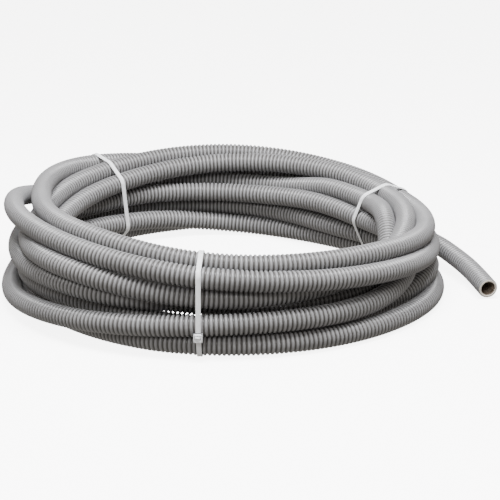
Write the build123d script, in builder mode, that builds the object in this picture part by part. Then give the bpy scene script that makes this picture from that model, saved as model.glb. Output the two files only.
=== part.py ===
from build123d import *
import math
import os

os.makedirs("parts", exist_ok=True)

# A ten metre roll of ribbed waste hose, held in a loose ring by three cable ties.
# The ring lies flat on z = 0. One cut end of the hose stands out of it.
# Driving dimensions, mm
hose_diameter = 21.0        # over the crests of the ribs
hose_bore = 16.0            # clear way inside the ribs
coil_centre = (-27.17, 0.51)   # axis of the ring, with the whole roll centred on the origin
corner_radius = 0.62 * hose_diameter

# Ring of turns: its section at stations round it, anticlockwise from +X.
# Each is (angle in degrees, inner radius, outer radius, height), in hose diameters.
coil_stations = [
    (0, 7.5, 11.0, 4.3),
    (15, 7.7, 10.9, 4.5),
    (36, 8.1, 11.4, 4.75),
    (60, 8.55, 11.45, 4.75),
    (90, 8.6, 11.65, 4.75),
    (128, 8.35, 11.5, 4.75),
    (150, 8.15, 11.3, 5.05),
    (180, 8.1, 10.95, 5.3),
    (210, 8.3, 11.0, 5.25),
    (240, 8.6, 11.3, 5.0),
    (265, 8.8, 11.4, 4.7),
    (300, 8.55, 11.3, 4.55),
    (330, 8.0, 11.15, 4.3),
    (345, 7.65, 11.1, 4.1),
]
section_step = 13           # most degrees between the sections that are joined up

# Hose end that leaves the ring: places on its centre line in hose diameters from the ring's
# axis. The first two are inside the ring, and the last is the cut mouth.
end_route = [
    (8.9, 6.5, 1.2),
    (10.9, 4.1, 1.15),
    (12.15, 1.1, 0.88),
    (12.66, -0.62, 0.72),
    (13.05, -2.36, 0.55),
]
skin_share = 0.5            # how far along its second run the end comes out of the ring
arc_share = 0.45            # part of the shorter run that an arc of the route takes

# Cable ties
strap_width = 4.8
strap_thickness = 1.2
strap_clearance = 0.1       # round the strap and the head, in the grooves they lie in
head_width = 8.6
head_length = 7.8
head_depth = 5.4
head_round = 0.8
tail_length = 1.6           # stub of strap left standing out of the head
window_depth = 0.8          # recess round the stub, where the pawl is reached
window_margin = 0.7
ring_height = 4.75 * hose_diameter
ring_radius = 9.8 * hose_diameter
# Each tie: its angle round the ring at the floor and at the top, its head's base, and the
# outermost turns that it goes round. These are (radius, height), in hose diameters.
front_turns = [(10.5, 0.56), (9.2, 1.8), (9.86, 4.1), (10.8, 3.72), (10.93, 1.5)]
right_turns = [(9.34, 0.62), (8.6, 1.4), (8.25, 2.4), (8.35, 3.4), (9.3, 3.71), (10.26, 3.38), (11.32, 1.2)]
left_turns = [(9.78, 0.58), (8.95, 1.25), (8.98, 3.42), (9.73, 4.1), (10.75, 4.2), (10.93, 2.9)]
ties = {
    "cable_tie_front": (265.4, 265.4, (11.394, 1.15), front_turns),
    "cable_tie_right": (31, 25, (11.84, 1.25), right_turns),
    "cable_tie_left": (127, 130, (11.47, 3.1), left_turns),
}


def section_at(angle):
    """Inner radius, outer radius and height of the ring at an angle, mm."""
    angle = angle % 360
    closed = coil_stations + [(360,) + coil_stations[0][1:]]
    for before, after in zip(closed, closed[1:]):
        if before[0] <= angle <= after[0]:
            share = (angle - before[0]) / (after[0] - before[0])
            pairs = zip(before[1:], after[1:])
            return [hose_diameter * (a + share * (b - a)) for a, b in pairs]


def radial_plane(angle):
    """Upright plane through the ring's axis: local x points outwards, local y up."""
    turn = math.radians(angle)
    return Plane(
        origin=(*coil_centre, 0),
        x_dir=(math.cos(turn), math.sin(turn), 0),
        z_dir=(math.sin(turn), -math.cos(turn), 0),
    )


def tie_plane(floor_angle, top_angle):
    """Plane that a tie lies in, through mid height. It leans when the two angles differ."""
    middle = math.radians((floor_angle + top_angle) / 2)
    travel = math.radians(top_angle - floor_angle) * ring_radius
    outwards = Vector(math.cos(middle), math.sin(middle), 0)
    sideways = Vector(-math.sin(middle), math.cos(middle), 0)
    upwards = Vector(0, 0, ring_height) + sideways * travel
    origin = (*coil_centre, ring_height / 2)
    return Plane(origin=origin, x_dir=outwards, z_dir=outwards.cross(upwards))


def level_in(plane, height):
    """How far up its own plane a tie reaches a height given in hose diameters."""
    return (height * hose_diameter - ring_height / 2) / plane.y_dir.Z


def add_bundle(plane, turns, margin, mode=Mode.ADD):
    """Outline stretched round a tie's outermost turns, larger by the margin."""
    with BuildSketch(plane, mode=Mode.PRIVATE) as outline:
        for radius, height in turns:
            with Locations((radius * hose_diameter, level_in(plane, height))):
                Circle(hose_diameter / 2 + margin)
        make_hull()
    add(outline.sketch_local, mode=mode)


def section_angles():
    """Angles of all sections: the stations, with each gap shared out evenly."""
    angles = []
    starts = [station[0] for station in coil_stations]
    for before, after in zip(starts, starts[1:] + [360]):
        steps = math.ceil((after - before) / section_step)
        angles += [before + (after - before) * step / steps for step in range(steps)]
    return angles + [360]


def add_section(angle):
    """Rounded rectangle round the bundle of turns."""
    inner, outer, height = section_at(angle)
    with Locations(((inner + outer) / 2, height / 2)):
        RectangleRounded(outer - inner, height, corner_radius)


def in_place(point):
    """Place in the part's frame, mm, of a point given in hose diameters from the axis."""
    x, y, z = (hose_diameter * value for value in point)
    return Vector(x + coil_centre[0], y + coil_centre[1], z)


def corner_radii(points):
    """Largest arc radius that each inner corner of a route has room for."""
    radii = []
    for before, corner, after in zip(points, points[1:], points[2:]):
        arriving = corner - before
        leaving = after - corner
        half_turn = math.radians(arriving.get_angle(leaving)) / 2
        shorter = min(arriving.length, leaving.length)
        radii.append(arc_share * shorter / math.tan(half_turn))
    return radii


def add_route(points):
    """Straight runs joined by tangent arcs."""
    return FilletPolyline(*points, radius=corner_radii(points))


end_points = [in_place(point) for point in end_route]
skin_point = end_points[1] + (end_points[2] - end_points[1]) * skin_share
hidden_points = end_points[:2] + [skin_point]
free_points = [skin_point] + end_points[2:]
start_plane = Plane(origin=hidden_points[0], z_dir=hidden_points[1] - hidden_points[0])
exit_plane = Plane(origin=skin_point, z_dir=free_points[1] - skin_point)

# Coiled part of the hose: one closed solid of the ring's outer shape
with BuildPart() as hose_coil:
    all_angles = section_angles()
    for neighbours in zip(all_angles, all_angles[1:]):
        for angle in neighbours:
            with BuildSketch(radial_plane(angle)):
                add_section(angle)
        loft(ruled=True)
    # The turn that peels off the ring towards the free end
    with BuildLine() as hidden_line:
        add_route(hidden_points)
    with BuildSketch(start_plane):
        Circle(hose_diameter / 2)
    sweep(path=hidden_line.wire())
    # Grooves where the straps pull the turns together, and the pockets of their heads
    for floor_angle, top_angle, head_place, turns in ties.values():
        plane = tie_plane(floor_angle, top_angle)
        outer = head_place[0] * hose_diameter - strap_clearance
        with BuildSketch(plane):
            with Locations((ring_radius, 0)):
                Rectangle(ring_height, 2 * ring_height)
            add_bundle(plane, turns, 0, Mode.SUBTRACT)
        extrude(amount=strap_width / 2 + strap_clearance, both=True, mode=Mode.SUBTRACT)
        with BuildSketch(plane):
            with Locations((outer + hose_diameter / 2, level_in(plane, head_place[1]))):
                Rectangle(hose_diameter, head_length + 2 * strap_clearance)
        extrude(amount=head_width / 2 + strap_clearance, both=True, mode=Mode.SUBTRACT)
hose_coil.part.label = "hose_coil"
export_step(hose_coil.part, "parts/hose_coil.step")

# Free end of the hose: an open tube, as long as the part of it that stands clear
with BuildPart() as hose_free_end:
    with BuildLine() as free_line:
        add_route(free_points)
    with BuildSketch(exit_plane):
        Circle(hose_diameter / 2)
        Circle(hose_bore / 2, mode=Mode.SUBTRACT)
    sweep(path=free_line.wire())
hose_free_end.part.label = "hose_free_end"
export_step(hose_free_end.part, "parts/hose_free_end.step")


def make_tie(name, floor_angle, top_angle, head_place, turns):
    """Strap round the bundle of turns, with its head on the outer side."""
    plane = tie_plane(floor_angle, top_angle)
    outer = head_place[0] * hose_diameter
    level = level_in(plane, head_place[1])
    with BuildPart() as tie:
        # Head
        with BuildSketch(plane):
            with Locations((outer + head_depth / 2, level)):
                RectangleRounded(head_depth, head_length, head_round)
        extrude(amount=head_width / 2, both=True)
        # Window in its outer face, where the pawl is reached
        with BuildSketch(plane):
            with Locations((outer + head_depth - window_depth / 2, level)):
                Rectangle(window_depth, strap_thickness + 2 * window_margin)
        extrude(amount=strap_width / 2 + window_margin, both=True, mode=Mode.SUBTRACT)
        # Strap
        with BuildSketch(plane):
            add_bundle(plane, turns, strap_thickness)
            add_bundle(plane, turns, 0, Mode.SUBTRACT)
        extrude(amount=strap_width / 2, both=True)
        # Stub of it that stands out of the head
        with BuildSketch(plane):
            with Locations((outer + (head_depth + tail_length) / 2, level)):
                Rectangle(head_depth + tail_length, strap_thickness)
        extrude(amount=strap_width / 2, both=True)
    tie.part.label = name
    export_step(tie.part, f"parts/{name}.step")


for tie_name, tie_facts in ties.items():
    make_tie(tie_name, *tie_facts)

# Tightest bends of the two routes, and the free tube's length against its volume
for route_name, points in {"hidden": hidden_points, "free": free_points}.items():
    print(route_name, "radii", [round(radius, 1) for radius in corner_radii(points)])
tube_area = math.pi * (hose_diameter**2 - hose_bore**2) / 4
free_length = free_line.wire().length
print("free end length", round(free_length, 1), "mm")
print("volume over area times length", round(hose_free_end.part.volume / tube_area / free_length, 4))
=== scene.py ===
import math

import bmesh
import bpy
import numpy as np
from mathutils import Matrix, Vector


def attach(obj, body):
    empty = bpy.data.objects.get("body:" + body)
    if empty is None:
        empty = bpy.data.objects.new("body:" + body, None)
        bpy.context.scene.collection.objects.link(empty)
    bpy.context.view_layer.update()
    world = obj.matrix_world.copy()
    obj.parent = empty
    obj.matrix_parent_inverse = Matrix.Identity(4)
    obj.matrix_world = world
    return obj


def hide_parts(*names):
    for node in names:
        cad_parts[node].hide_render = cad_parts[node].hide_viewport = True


# A roll of ribbed waste hose, tied by three cable ties. Metres, in the frame of the CAD model.
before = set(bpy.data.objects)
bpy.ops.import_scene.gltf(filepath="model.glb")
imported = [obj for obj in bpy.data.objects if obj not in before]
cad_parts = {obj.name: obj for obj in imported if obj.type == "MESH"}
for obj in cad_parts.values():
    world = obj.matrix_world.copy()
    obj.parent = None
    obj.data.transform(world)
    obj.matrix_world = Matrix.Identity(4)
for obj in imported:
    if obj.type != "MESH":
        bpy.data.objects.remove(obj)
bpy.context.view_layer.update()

# Hose
HOSE_DIAMETER = 0.021
BORE_DIAMETER = 0.016
RIB_PITCH = 0.0045
GROOVE_DEPTH = 0.0016
COIL_CENTRE = Vector((-0.02717, 0.00051, 0.0))
SEGMENTS = 20               # points round the hose
BORE_INSET = 0.0004         # how far the bore's ribs stand in from its diameter
BORE_RIB_SHARE = 0.6        # depth of the bore's ribs, as a share of the grooves outside

# The end that stands out, from inside the ring to the cut mouth: x, y, z from the ring's axis
END_ROUTE = [
    (0.1869, 0.1365, 0.0252),
    (0.2289, 0.0861, 0.0242),
    (0.2552, 0.0231, 0.0185),
    (0.2659, -0.0130, 0.0151),
    (0.2741, -0.0496, 0.0116),
]

# The turns, as the hose runs on from that end. Each row is one turn, anticlockwise from +X.
# It holds the hose's distance from the ring's axis and its height at eight stations, both in
# hose diameters. The first turn starts where the end above joins it, and the last stops part way.
STATIONS = 8
FIRST_STATION = 1
TURNS = [
    [None, (11.0, 1.1), (10.7, 0.5), (9.6, 0.5),
     (9.4, 0.5), (9.7, 0.5), (10.46, 0.5), (10.6, 0.5)],
    [(10.4, 0.5), (8.8, 0.55), (9.4, 0.6), (8.9, 1.3),
     (9.6, 1.45), (10.0, 1.7), (10.05, 1.33), (9.4, 0.9)],
    [(9.95, 1.45), (8.3, 1.45), (9.9, 1.5), (10.5, 1.5),
     (10.4, 0.6), (10.9, 1.05), (10.9, 1.56), (10.4, 1.55)],
    [(9.0, 2.3), (8.05, 2.55), (9.2, 2.45), (9.6, 2.3),
     (9.95, 2.8), (10.4, 2.55), (9.1, 1.7), (9.2, 1.85)],
    [(8.15, 3.6), (8.3, 3.35), (10.2, 2.75), (11.0, 2.85),
     (10.3, 4.35), (10.3, 4.3), (10.8, 3.65), (10.65, 3.0)],
    [(10.25, 2.3), (10.6, 2.6), (11.1, 3.35), (10.6, 4.35),
     (8.95, 4.6), (9.25, 4.7), (9.9, 4.1), (10.0, 3.75)],
    [(10.0, 3.25), (10.35, 3.7), (10.6, 4.25), (9.6, 3.95),
     (9.2, 3.35), (10.75, 3.45), (10.3, 2.6), (9.5, 2.8)],
    [(9.05, 3.6), (9.4, 3.95), (9.7, 3.95), (8.9, 3.4),
     (8.6, 2.6), (8.9, 2.9), (9.4, 3.0)],
]
# Where a turn strays between two stations: turn, angle in degrees, how far out and how far up
STRAYS = [
    (4, 27, 0.4, -0.38),
    (7, 27, 0.1, -0.25),
    (6, 27, 0.0, -0.2),
    (5, 27, 0.0, -0.2),
    (4, 70, 0.2, -0.3),
    (3, 52, 0.1, 0.2),
    (3, 118, 0.0, 0.2),
    (1, 348, 0.45, 0.35),
    (4, 12, -0.05, -0.12),
    (3, 335, 0.1, -0.5),
    (4, 112, 0.0, 0.1),
    (0, 188, 0.12, 0.0),
    (1, 108, 0.0, 0.12),
    (1, 243, -0.5, 0.0),
    (3, 243, 0.3, 0.0),
]
STRAY_SPREAD = 17           # degrees over which such a place dies away
STEPS = 6                   # points of the coil between two stations: 48 to each turn
STEP_ANGLE = 2 * math.pi / (STATIONS * STEPS)
TURN_STEPS = STATIONS * STEPS
SETTLED_GAP = 0.965         # distance that overlapping turns are pushed to, in hose diameters
SETTLE_ROUNDS = 400
SMOOTHED_ROUNDS = 280       # the rounds after these only push
SETTLE_HOLD = 0.985         # share of a shift that each smoothed round keeps
LYING_HEIGHT = 0.5          # centre height of the hose on the floor, in hose diameters
STRAP_LIFT_SPREAD = 14      # degrees over which the lift by a strap underneath dies away

# Cable ties: the angle of each round the ring, in degrees, at the floor and at the top of the
# ring, and its head's height in hose diameters
TIES = {
    "cable_tie_front": (265.4, 265.4, 1.15),
    "cable_tie_right": (31, 25, 1.25),
    "cable_tie_left": (127, 130, 3.1),
}
RING_HEIGHT = 0.1           # height over which a leaning tie turns from one angle to the other
MEAN_RADIUS = 0.205
STRAP_WIDTH = 0.0048
STRAP_THICKNESS = 0.0012
STRAP_STEP = 0.0012         # spacing of the strap's cross sections
CHANNEL_DEPTH = 0.00017
CHANNEL_FOOT = 0.5          # across the strap, in shares of its half width: foot and top of the
CHANNEL_TOP = 0.6           # channel's sides, and where the rounded edge starts
FLAT_END = 0.82
EDGE_HEIGHT = 0.5           # upright part of the edge, as a share of the thickness
HULL_STEPS = 48             # points round each turn that a strap is stretched over
HEAD_WIDTH = 0.0086
HEAD_LENGTH = 0.0078
HEAD_DEPTH = 0.0054
HEAD_ROUND = 0.0009
RIM_ROUND = 0.00035
WINDOW_WIDTH = 0.0058       # in the head's outer face, with the pawl and the strap's cut stub
WINDOW_LENGTH = 0.0050
WINDOW_DEPTH = 0.0016
PAWL_GAP = 0.0003
TAIL_LENGTH = 0.0012
BEVEL_SEGMENTS = 3
BEVEL_PROFILE = 0.6

# Colours and surfaces. A pair is for the low and the high values of the noise that drives it.
TINT_SPAN = (0.3, 0.7)
HOSE_TINTS = ((0.226, 0.227, 0.234, 1), (0.270, 0.271, 0.279, 1))
# Painted shade in the grooves: the hose's colour is darkened towards this by the groove share
PAINTED_GROOVE_SHADE = (0.053, 0.050, 0.047, 1)
GROOVE_SHADE_FROM = 0.85    # groove share at which the painted shade is full
GROOVE_SHADE_TO = 0.97
CUT_COLOUR = (0.60, 0.56, 0.50, 1)
BORE_COLOUR = (0.24, 0.19, 0.145, 1)
BORE_SHADE = -0.85          # times the cut attribute, which is -1 in the bore
HOSE_CLOUDS = (18.0, 4.0)   # noises: scale and detail
HOSE_GRAIN = (900.0, 3.0)
HOSE_ROUGHNESS = (0.28, 0.42)
GRAIN_STRENGTH = 0.12
GRAIN_DISTANCE = 0.0002
NYLON_TINTS = ((0.84, 0.86, 0.89, 1), (0.92, 0.94, 0.96, 1))
NYLON_CLOUDS = (240.0, 3.0)
NYLON_ROUGHNESS = (0.28, 0.45)
NYLON_SUBSURFACE = 0.25
NYLON_RADIUS = (0.003, 0.003, 0.003)
FLOOR_COLOUR = (0.97, 0.97, 0.97, 1)
FLOOR_ROUGHNESS = 0.7
FLOOR_GLOW = 6.0
FLOOR_REACH = 6.0

# Softboxes: name, place, what they point at, size, power and colour
LIGHTS = [
    ("top_softbox", (0.05, -0.4, 1.45), (0, 0, 0), (1.1, 0.6), 71, (0.985, 0.985, 1.0)),
    ("front_softbox", (-0.5, -2.2, 1.6), (0, 0, 0.05), (0.8, 0.5), 24, (1.0, 0.99, 0.98)),
]
WORLD_COLOUR = (1.0, 0.95, 0.88, 1)
WORLD_STRENGTH = 0.51

CAMERA_PLACE = COIL_CENTRE + Vector((0.0290, -1.9026, 0.6021))
CAMERA_PITCH = math.radians(16.5)
CAMERA_LENS = 136.08


# ---------------------------------------------------------------- the route of the hose

def catmull_rom(values, count):
    """Smooth run through the rows of an array, with count steps between each two rows."""
    padded = np.vstack([2 * values[0] - values[1], values, 2 * values[-1] - values[-2]])
    out = []
    for i in range(1, len(padded) - 2):
        a, b, c, d = padded[i - 1:i + 3]
        for step in range(count):
            t = step / count
            out.append(0.5 * (2 * b + (c - a) * t + (2 * a - 5 * b + 4 * c - d) * t ** 2
                              + (3 * b - a - 3 * c + d) * t ** 3))
    out.append(values[-1])
    return np.array(out)


def coil_lay():
    """Radius and height of each point of the coil, in diameters, and its step round the ring."""
    stations = [place for row in TURNS for place in row if place is not None]
    lay = catmull_rom(np.array(stations, dtype=float), STEPS)
    steps = np.arange(len(lay)) + FIRST_STATION * STEPS
    for turn, angle, out, up in STRAYS:
        away = np.degrees(steps * STEP_ANGLE) - 360 * turn - angle
        lay += np.exp(-(away / STRAY_SPREAD) ** 2)[:, None] * (out, up)
    return lay, steps


def floor_height(steps):
    """Lowest centre height: the hose lies on the floor, and on the straps at the ties."""
    angles = np.degrees(steps * STEP_ANGLE)
    lift = np.zeros(len(steps))
    for floor_angle, _, _ in TIES.values():
        away = (angles - floor_angle + 180) % 360 - 180
        lift += STRAP_THICKNESS / HOSE_DIAMETER * np.exp(-(away / STRAP_LIFT_SPREAD) ** 2)
    return LYING_HEIGHT + lift


def push_apart(lay, firsts, seconds, reach, gap):
    """Push overlapping turns apart at their points, or half way to the next ones if reach is 1."""
    places = (lay + np.roll(lay, -reach, axis=0)) / 2
    between = places[seconds] - places[firsts]
    distance = np.maximum(np.linalg.norm(between, axis=1), 1e-6)
    push = between / distance[:, None] * np.maximum(gap - distance, 0.0)[:, None] / 2
    for step in range(reach + 1):
        np.add.at(lay, seconds + step, push)
        np.add.at(lay, firsts + step, -push)


def settle(lay, steps):
    """Push turns that overlap apart, until they lie about SETTLED_GAP from each other."""
    home = lay.copy()
    low = floor_height(steps)
    firsts, seconds = [], []
    for apart in range(TURN_STEPS, len(lay), TURN_STEPS):
        firsts += range(0, len(lay) - apart)
        seconds += range(apart, len(lay))
    firsts, seconds = np.array(firsts), np.array(seconds)
    inner = seconds < len(lay) - 1
    for index in range(SETTLE_ROUNDS):
        if index < SMOOTHED_ROUNDS:
            shift = lay - home
            smooth = shift.copy()
            smooth[1:-1] = 0.5 * shift[1:-1] + 0.25 * (shift[:-2] + shift[2:])
            lay = home + SETTLE_HOLD * smooth
        push_apart(lay, firsts, seconds, 0, SETTLED_GAP)
        push_apart(lay, firsts[inner], seconds[inner], 1, SETTLED_GAP)
        lay[:, 1] = np.maximum(lay[:, 1], low)
    return lay


def route_points():
    """Control points of the whole hose, from the cut mouth to the hidden end."""
    lay, steps = coil_lay()
    lay = settle(lay, steps)
    spread = 1 / math.cos(STEP_ANGLE / 2)     # the spline runs inside its points by this much
    points = [COIL_CENTRE + Vector(place) for place in reversed(END_ROUTE)]
    for (radius, height), step in zip(lay, steps):
        reach = radius * HOSE_DIAMETER * spread
        angle = step * STEP_ANGLE
        offset = (reach * math.cos(angle), reach * math.sin(angle), height * HOSE_DIAMETER)
        points.append(COIL_CENTRE + Vector(offset))
    return points


def smooth_line(points):
    """Points read from a NURBS spline through the route."""
    curve = bpy.data.curves.new("route", "CURVE")
    curve.dimensions = "3D"
    curve.resolution_u = 12
    spline = curve.splines.new("NURBS")
    spline.points.add(len(points) - 1)
    for control, place in zip(spline.points, points):
        control.co = (*place, 1.0)
    spline.order_u = 3
    spline.use_endpoint_u = True
    holder = bpy.data.objects.new("route", curve)
    mesh = bpy.data.meshes.new_from_object(holder)
    line = np.array([vertex.co[:] for vertex in mesh.vertices])
    bpy.data.objects.remove(holder)
    bpy.data.curves.remove(curve)
    bpy.data.meshes.remove(mesh)
    return line


class Line:
    """A line that can be asked for its place and direction at any distance along it."""

    def __init__(self, points):
        self.points = points
        gaps = np.linalg.norm(np.diff(points, axis=0), axis=1)
        self.along = np.concatenate([[0.0], np.cumsum(gaps)])
        self.length = self.along[-1]

    def place(self, distance):
        distance = np.clip(distance, 0.0, self.length)
        axes = [np.interp(distance, self.along, self.points[:, axis]) for axis in range(3)]
        return np.stack(axes, axis=-1)

    def direction(self, distance):
        reach = HOSE_DIAMETER / 4
        heading = self.place(distance + reach) - self.place(distance - reach)
        return heading / np.linalg.norm(heading, axis=-1, keepdims=True)


# ---------------------------------------------------------------- meshes

def new_piece(name, vertices, faces, smooth=True):
    """A mesh object in the scene, from plain lists."""
    mesh = bpy.data.meshes.new(name)
    mesh.from_pydata(vertices, [], faces)
    mesh.update()
    mesh.polygons.foreach_set("use_smooth", [smooth] * len(mesh.polygons))
    piece = bpy.data.objects.new(name, mesh)
    bpy.context.scene.collection.objects.link(piece)
    return piece


# One rib: how far along the pitch each ring is, and how deep in the groove (0 crest, 1 bottom)
RIB_RINGS = [(0.0, 1.0), (0.15, 0.72), (0.3, 0.16), (0.5, 0.0), (0.7, 0.16), (0.85, 0.72)]
CUT_OUTSIDE = 0.0099        # radii of the flat cut at each end
CUT_INSIDE = 0.0074
CUT_EDGE = 0.0004           # how far the cut's edges are worn back
BORE_REACH = 0.12           # how far in from a cut end the bore is modelled


def outer_rings(length):
    """Distances along the hose of its outer rings, with each one's groove share."""
    ribs = int(length // RIB_PITCH)
    pitch = length / ribs
    rings = [((rib + share) * pitch, groove)
             for rib in range(ribs) for share, groove in RIB_RINGS]
    return rings + [(length, 1.0)]


def bore_rings(length, at_start):
    """Rings of the inside wall, from a cut end inwards."""
    rings = []
    count = int(BORE_REACH / RIB_PITCH)
    for rib in range(count):
        for share, groove in RIB_RINGS:
            inwards = (rib + share) * RIB_PITCH
            rings.append((inwards if at_start else length - inwards, groove))
    return rings


def hose_profile(length):
    """Every ring of the hose in order, from deep in one bore, over the outside, into the other.

    Each row is distance along, radius, groove share, and 1 for cut wall or -1 for the bore.
    """
    outside = HOSE_DIAMETER / 2
    inside = BORE_DIAMETER / 2
    bores = []
    for at_start in (True, False):
        rings = []
        for distance, groove in bore_rings(length, at_start):
            radius = inside - BORE_INSET + (1 - groove) * GROOVE_DEPTH * BORE_RIB_SHARE
            rings.append((distance, radius, groove, -1.0))
        bores.append(rings)
    cut_faces = []
    for end, inwards in ((0.0, CUT_EDGE), (length, length - CUT_EDGE)):
        # On the cut faces the groove share sets only the painted shade of the colour, darkest at
        # the outer edge
        cut_faces.append([
            (inwards, CUT_INSIDE, 0.6, 1.0),
            (end, CUT_INSIDE + CUT_EDGE, 0.2, 1.0),
            (end, CUT_OUTSIDE - CUT_EDGE, 0.2, 1.0),
            (inwards, CUT_OUTSIDE, 1.0, 0.0),
        ])
    outer = [(distance, outside - groove * GROOVE_DEPTH, groove, 0.0)
             for distance, groove in outer_rings(length)]
    rings = bores[0][:0:-1] + cut_faces[0] + outer[1:-1] + cut_faces[1][::-1] + bores[1][1:]
    return np.array(rings)


def carried_frames(line, distances):
    """Two directions across the line at each distance, carried along it without twist."""
    headings = line.direction(distances)
    across = np.zeros_like(headings)
    side = np.cross(headings[0], (0.0, 0.0, 1.0))
    for index, heading in enumerate(headings):
        side = side - heading * side.dot(heading)
        side /= np.linalg.norm(side)
        across[index] = side
    return across, np.cross(headings, across)


def make_hose(line):
    """The ribbed hose: outside, both cut ends and the bore behind each of them."""
    rings = hose_profile(line.length)
    order = np.argsort(rings[:, 0], kind="stable")
    sides = np.zeros((len(rings), 3))
    ups = np.zeros((len(rings), 3))
    across, up = carried_frames(line, rings[order, 0])
    sides[order] = across
    ups[order] = up
    centres = line.place(rings[:, 0])
    turn = np.linspace(0, 2 * math.pi, SEGMENTS, endpoint=False)
    radii = rings[:, 1][:, None, None]
    spokes = (sides[:, None, :] * np.cos(turn)[None, :, None]
              + ups[:, None, :] * np.sin(turn)[None, :, None])
    vertices = (centres[:, None, :] + radii * spokes).reshape(-1, 3)
    count = len(rings)
    first = np.arange(count - 1)[:, None] * SEGMENTS
    here = np.arange(SEGMENTS)[None, :]
    beyond = (np.arange(SEGMENTS) + 1) % SEGMENTS
    quads = np.stack([first + here, first + SEGMENTS + here, first + SEGMENTS + beyond[None, :],
                      first + beyond[None, :]], axis=-1).reshape(-1, 4)

    mesh = bpy.data.meshes.new("hose")
    mesh.vertices.add(len(vertices))
    mesh.vertices.foreach_set("co", vertices.ravel())
    last = len(vertices) - 1
    caps = [list(range(SEGMENTS)), list(range(last, last - SEGMENTS, -1))]
    loops = np.concatenate([quads.ravel(), caps[0], caps[1]]).astype(np.int32)
    corners = len(quads) * 4
    starts = np.concatenate([np.arange(len(quads)) * 4, [corners, corners + SEGMENTS]])
    totals = np.concatenate([np.full(len(quads), 4), [SEGMENTS, SEGMENTS]])
    mesh.loops.add(len(loops))
    mesh.loops.foreach_set("vertex_index", loops)
    mesh.polygons.add(len(starts))
    mesh.polygons.foreach_set("loop_start", starts.astype(np.int32))
    mesh.polygons.foreach_set("loop_total", totals.astype(np.int32))
    mesh.update(calc_edges=True)
    mesh.validate()
    mesh.polygons.foreach_set("use_smooth", [True] * len(mesh.polygons))

    for name, column in (("groove", 2), ("cut", 3)):
        attribute = mesh.attributes.new(name, "FLOAT", "POINT")
        values = np.repeat(rings[:, column], SEGMENTS).astype(np.float32)
        attribute.data.foreach_set("value", values)
    hose = bpy.data.objects.new("hose", mesh)
    bpy.context.scene.collection.objects.link(hose)
    return hose


# ---------------------------------------------------------------- cable ties

class TiePlane:
    """Plane that a tie lies in: upright or leaning, and square to the hose at mid height."""

    def __init__(self, name):
        floor_angle, top_angle, head_height = TIES[name]
        middle = math.radians((floor_angle + top_angle) / 2)
        self.outwards = Vector((math.cos(middle), math.sin(middle), 0))
        sideways = Vector((-math.sin(middle), math.cos(middle), 0))
        travel = math.radians(top_angle - floor_angle) * MEAN_RADIUS
        self.upwards = (Vector((0, 0, RING_HEIGHT)) + sideways * travel).normalized()
        self.sideways = self.upwards.cross(self.outwards)
        self.origin = COIL_CENTRE + Vector((0, 0, RING_HEIGHT / 2))
        self.head_level = (head_height * HOSE_DIAMETER - RING_HEIGHT / 2) / self.upwards.z

    def place(self, out, up, side=0.0):
        return self.origin + self.outwards * out + self.upwards * up + self.sideways * side

    def crossings(self, line):
        """Where the hose crosses the plane on this side of the ring: outwards and upwards."""
        from_origin = line.points - np.array(self.origin)
        beside = from_origin @ np.array(self.sideways)
        out = from_origin @ np.array(self.outwards)
        up = from_origin @ np.array(self.upwards)
        found = []
        for index in np.nonzero(np.diff(np.sign(beside)))[0]:
            if out[index] > 0:
                share = beside[index] / (beside[index] - beside[index + 1])
                found.append((out[index] + share * (out[index + 1] - out[index]),
                              up[index] + share * (up[index + 1] - up[index])))
        return found


def hull(points):
    """Convex outline of plane points, anticlockwise."""
    points = sorted(points)

    def half(run):
        out = []
        for point in run:
            while len(out) > 1:
                ax, ay = out[-1][0] - out[-2][0], out[-1][1] - out[-2][1]
                bx, by = point[0] - out[-1][0], point[1] - out[-1][1]
                if ax * by - ay * bx > 1e-12:
                    break
                out.pop()
            out.append(point)
        return out[:-1]

    return half(points) + half(points[::-1])


def strap_outline(plane, line, offset):
    """Outline of the bundle at a tie, as far out as the middle of the strap."""
    reach = HOSE_DIAMETER / 2 + offset
    cloud = []
    for out, up in plane.crossings(line):
        for step in range(HULL_STEPS):
            turn = 2 * math.pi * step / HULL_STEPS
            cloud.append((out + reach * math.cos(turn), up + reach * math.sin(turn)))
    return hull(cloud)


def even_steps(outline, spacing):
    """Closed outline with points at even spacing."""
    ring = np.array(outline + outline[:1])
    along = np.concatenate([[0], np.cumsum(np.linalg.norm(np.diff(ring, axis=0), axis=1))])
    count = int(along[-1] / spacing)
    marks = np.linspace(0, along[-1], count, endpoint=False)
    return np.stack([np.interp(marks, along, ring[:, axis]) for axis in range(2)], axis=-1)


def outward_normals(outline):
    """Directions at right angles to a closed outline, at each of its points."""
    following = np.roll(outline, -1, axis=0) - np.roll(outline, 1, axis=0)
    following /= np.linalg.norm(following, axis=1)[:, None]
    return np.stack([following[:, 1], -following[:, 0]], axis=-1)


def strap_band(plane, middle):
    """Vertices and faces of the strap: rounded edges, and a shallow channel on its outer face."""
    half, thick = STRAP_WIDTH / 2, STRAP_THICKNESS / 2
    bed = thick - CHANNEL_DEPTH
    section = [
        (-half, -EDGE_HEIGHT * thick), (-half, EDGE_HEIGHT * thick),
        (-FLAT_END * half, thick), (-CHANNEL_TOP * half, thick),
        (-CHANNEL_FOOT * half, bed), (CHANNEL_FOOT * half, bed),
        (CHANNEL_TOP * half, thick), (FLAT_END * half, thick),
        (half, EDGE_HEIGHT * thick), (half, -EDGE_HEIGHT * thick),
        (FLAT_END * half, -thick), (-FLAT_END * half, -thick),
    ]
    vertices, faces = [], []
    for (radius, height), (out_radius, out_height) in zip(middle, outward_normals(middle)):
        for side, out in section:
            place = plane.place(radius + out_radius * out, height + out_height * out, side)
            vertices.append((place[0], place[1], max(place[2], 0.0)))
    count, size = len(middle), len(section)
    for index in range(count):
        first, second = index * size, (index + 1) % count * size
        for corner in range(size):
            beside = (corner + 1) % size
            faces.append((first + corner, first + beside, second + beside, second + corner))
    return vertices, faces


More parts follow.
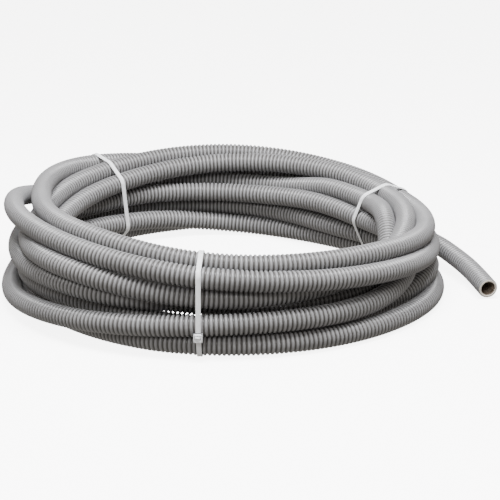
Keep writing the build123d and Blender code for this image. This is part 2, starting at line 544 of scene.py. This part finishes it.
def add_block(shape, low, high, rounding):
    """Rounded block between two corners, added to a bmesh: out of the ring, across, and up."""
    size = [b - a for a, b in zip(low, high)]
    middle = [(a + b) / 2 for a, b in zip(low, high)]
    made = bmesh.ops.create_cube(shape, size=1.0)
    corners = made["verts"]
    bmesh.ops.scale(shape, vec=size, verts=corners)
    bmesh.ops.translate(shape, vec=middle, verts=corners)
    edges = list({edge for vertex in corners for edge in vertex.link_edges})
    bmesh.ops.bevel(shape, geom=edges, offset=rounding, segments=BEVEL_SEGMENTS,
                    affect="EDGES", profile=BEVEL_PROFILE)


def head_shape():
    """Head of a tie on its own axes: its frame round the pawl's window, the pawl and the stub."""
    shape = bmesh.new()
    half_width, half_length = HEAD_WIDTH / 2, HEAD_LENGTH / 2
    floor = HEAD_DEPTH - WINDOW_DEPTH
    add_block(shape, (0, -half_width, -half_length), (floor, half_width, half_length), HEAD_ROUND)
    rim = HEAD_DEPTH
    for side in (-1, 1):
        inner, outer = sorted((side * WINDOW_WIDTH / 2, side * half_width))
        add_block(shape, (HEAD_ROUND, inner, -half_length), (rim, outer, half_length), RIM_ROUND)
        inner, outer = sorted((side * WINDOW_LENGTH / 2, side * half_length))
        add_block(shape, (HEAD_ROUND, -half_width, inner), (rim, half_width, outer), RIM_ROUND)
    pawl = WINDOW_WIDTH / 2 - PAWL_GAP
    add_block(shape, (floor, -pawl, -WINDOW_LENGTH / 2), (rim - PAWL_GAP, pawl, -PAWL_GAP),
              RIM_ROUND)
    stub = STRAP_WIDTH / 2
    add_block(shape, (floor, -stub, PAWL_GAP),
              (rim + TAIL_LENGTH, stub, PAWL_GAP + STRAP_THICKNESS), RIM_ROUND / 2)
    return shape


def make_tie(name, line):
    """Strap round the bundle, with its head on the outer side."""
    plane = TiePlane(name)
    middle = even_steps(strap_outline(plane, line, STRAP_THICKNESS / 2), STRAP_STEP)
    vertices, faces = strap_band(plane, middle)
    outer = middle[middle[:, 0] > middle[:, 0].mean()]
    base = float(outer[np.argmin(abs(outer[:, 1] - plane.head_level)), 0])
    head = head_shape()
    head.verts.index_update()
    start = len(vertices)
    for vertex in head.verts:
        out, side, up = vertex.co
        vertices.append(plane.place(base + out, plane.head_level + up, side))
    for face in head.faces:
        faces.append([start + vertex.index for vertex in face.verts])
    head.free()
    return new_piece(name, vertices, faces)


# ---------------------------------------------------------------- materials

def node_material(name):
    """A new material, its node tree and its main shader."""
    material = bpy.data.materials.new(name)
    material.use_nodes = True
    tree = material.node_tree
    return material, tree, tree.nodes["Principled BSDF"]


def add_noise(tree, coordinates, settings):
    noise = tree.nodes.new("ShaderNodeTexNoise")
    noise.inputs["Scale"].default_value, noise.inputs["Detail"].default_value = settings
    tree.links.new(coordinates.outputs["Object"], noise.inputs["Vector"])
    return noise


def add_tint(tree, noise, colours):
    """Colour ramp between two colours, over a noise."""
    tint = tree.nodes.new("ShaderNodeValToRGB")
    for index in range(2):
        tint.color_ramp.elements[index].position = TINT_SPAN[index]
        tint.color_ramp.elements[index].color = colours[index]
    tree.links.new(noise.outputs["Fac"], tint.inputs["Fac"])
    return tint.outputs["Color"]


def mix_in(tree, factor, base, colour):
    """Mix a fixed colour into the base colour, by the factor."""
    mix = tree.nodes.new("ShaderNodeMix")
    mix.data_type = "RGBA"
    mix.inputs["B"].default_value = colour
    tree.links.new(factor, mix.inputs["Factor"])
    tree.links.new(base, mix.inputs["A"])
    return mix.outputs["Result"]


def set_roughness(tree, shader, noise, span):
    """Roughness that a noise carries from one end of a span to the other."""
    gloss = tree.nodes.new("ShaderNodeMapRange")
    gloss.inputs["To Min"].default_value, gloss.inputs["To Max"].default_value = span
    tree.links.new(noise.outputs["Fac"], gloss.inputs["Value"])
    tree.links.new(gloss.outputs["Result"], shader.inputs["Roughness"])


def hose_material():
    """Soft grey plastic: clouded grey, with painted shade in the grooves, pale on the cut, brown
    in the bore.
    """
    material, tree, shader = node_material("hose_plastic")
    nodes, links = tree.nodes, tree.links
    coordinates = nodes.new("ShaderNodeTexCoord")
    colour = add_tint(tree, add_noise(tree, coordinates, HOSE_CLOUDS), HOSE_TINTS)
    groove = nodes.new("ShaderNodeAttribute")
    groove.attribute_name = "groove"
    # Painted shade: the deeper a point lies in a groove, the darker its colour
    shade = nodes.new("ShaderNodeMapRange")
    shade.inputs["From Max"].default_value = GROOVE_SHADE_FROM
    shade.inputs["To Max"].default_value = GROOVE_SHADE_TO
    links.new(groove.outputs["Fac"], shade.inputs["Value"])
    colour = mix_in(tree, shade.outputs["Result"], colour, PAINTED_GROOVE_SHADE)
    cut = nodes.new("ShaderNodeAttribute")
    cut.attribute_name = "cut"
    colour = mix_in(tree, cut.outputs["Fac"], colour, CUT_COLOUR)
    inside = nodes.new("ShaderNodeMath")
    inside.operation = "MULTIPLY"
    inside.inputs[1].default_value = BORE_SHADE
    links.new(cut.outputs["Fac"], inside.inputs[0])
    colour = mix_in(tree, inside.outputs["Value"], colour, BORE_COLOUR)
    links.new(colour, shader.inputs["Base Color"])
    grain = add_noise(tree, coordinates, HOSE_GRAIN)
    set_roughness(tree, shader, grain, HOSE_ROUGHNESS)
    bump = nodes.new("ShaderNodeBump")
    bump.inputs["Strength"].default_value = GRAIN_STRENGTH
    bump.inputs["Distance"].default_value = GRAIN_DISTANCE
    links.new(grain.outputs["Fac"], bump.inputs["Height"])
    links.new(bump.outputs["Normal"], shader.inputs["Normal"])
    return material


def nylon_material():
    """Milky natural nylon."""
    material, tree, shader = node_material("natural_nylon")
    clouds = add_noise(tree, tree.nodes.new("ShaderNodeTexCoord"), NYLON_CLOUDS)
    tree.links.new(add_tint(tree, clouds, NYLON_TINTS), shader.inputs["Base Color"])
    set_roughness(tree, shader, clouds, NYLON_ROUGHNESS)
    shader.inputs["Subsurface Weight"].default_value = NYLON_SUBSURFACE
    shader.inputs["Subsurface Radius"].default_value = NYLON_RADIUS
    shader.inputs["Subsurface Scale"].default_value = 1.0
    return material


def floor_material():
    """Pale sheet that glows, so that it looks as white as a cut-out backdrop."""
    material, _, shader = node_material("pale_floor")
    shader.inputs["Base Color"].default_value = FLOOR_COLOUR
    shader.inputs["Roughness"].default_value = FLOOR_ROUGHNESS
    shader.inputs["Emission Color"].default_value = (1, 1, 1, 1)
    shader.inputs["Emission Strength"].default_value = FLOOR_GLOW
    return material


# ---------------------------------------------------------------- camera, floor and lights

def make_camera():
    data = bpy.data.cameras.new("camera")
    data.lens = CAMERA_LENS
    data.clip_end = 20
    camera = bpy.data.objects.new("camera", data)
    camera.location = CAMERA_PLACE
    camera.rotation_euler = (math.pi / 2 - CAMERA_PITCH, 0, 0)
    bpy.context.scene.collection.objects.link(camera)
    bpy.context.scene.camera = camera


def make_floor():
    """The floor. It throws no light on the hose, and the hose doesn't mirror it."""
    reach = FLOOR_REACH
    corners = [(-reach, -reach, 0), (reach, -reach, 0), (reach, reach, 0), (-reach, reach, 0)]
    floor = new_piece("floor", corners, [(0, 1, 2, 3)], smooth=False)
    floor.data.materials.append(floor_material())
    floor.visible_diffuse = False
    floor.visible_glossy = False


def make_light(name, place, aim, size, power, colour):
    data = bpy.data.lights.new(name, "AREA")
    data.shape = "RECTANGLE"
    data.size, data.size_y = size
    data.energy = power
    data.color = colour
    lamp = bpy.data.objects.new(name, data)
    lamp.location = place
    lamp.rotation_euler = (Vector(aim) - Vector(place)).to_track_quat("-Z", "Y").to_euler()
    bpy.context.scene.collection.objects.link(lamp)


def make_lights():
    """A cool softbox overhead, a weak one at the front, and a warm surround for the shade."""
    for light in LIGHTS:
        make_light(*light)
    world = bpy.data.worlds.new("studio")
    world.use_nodes = True
    background = world.node_tree.nodes["Background"]
    background.inputs["Color"].default_value = WORLD_COLOUR
    background.inputs["Strength"].default_value = WORLD_STRENGTH
    bpy.context.scene.world = world


make_camera()
hose_line = Line(smooth_line(route_points()))
hose_piece = make_hose(hose_line)
hose_piece.data.materials.append(hose_material())
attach(hose_piece, "root")
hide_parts("hose_coil", "hose_free_end")

nylon = nylon_material()
for tie_name in TIES:
    tie = make_tie(tie_name, hose_line)
    tie.data.materials.append(nylon)
    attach(tie, "root")
    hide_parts(tie_name)

make_floor()
make_lights()
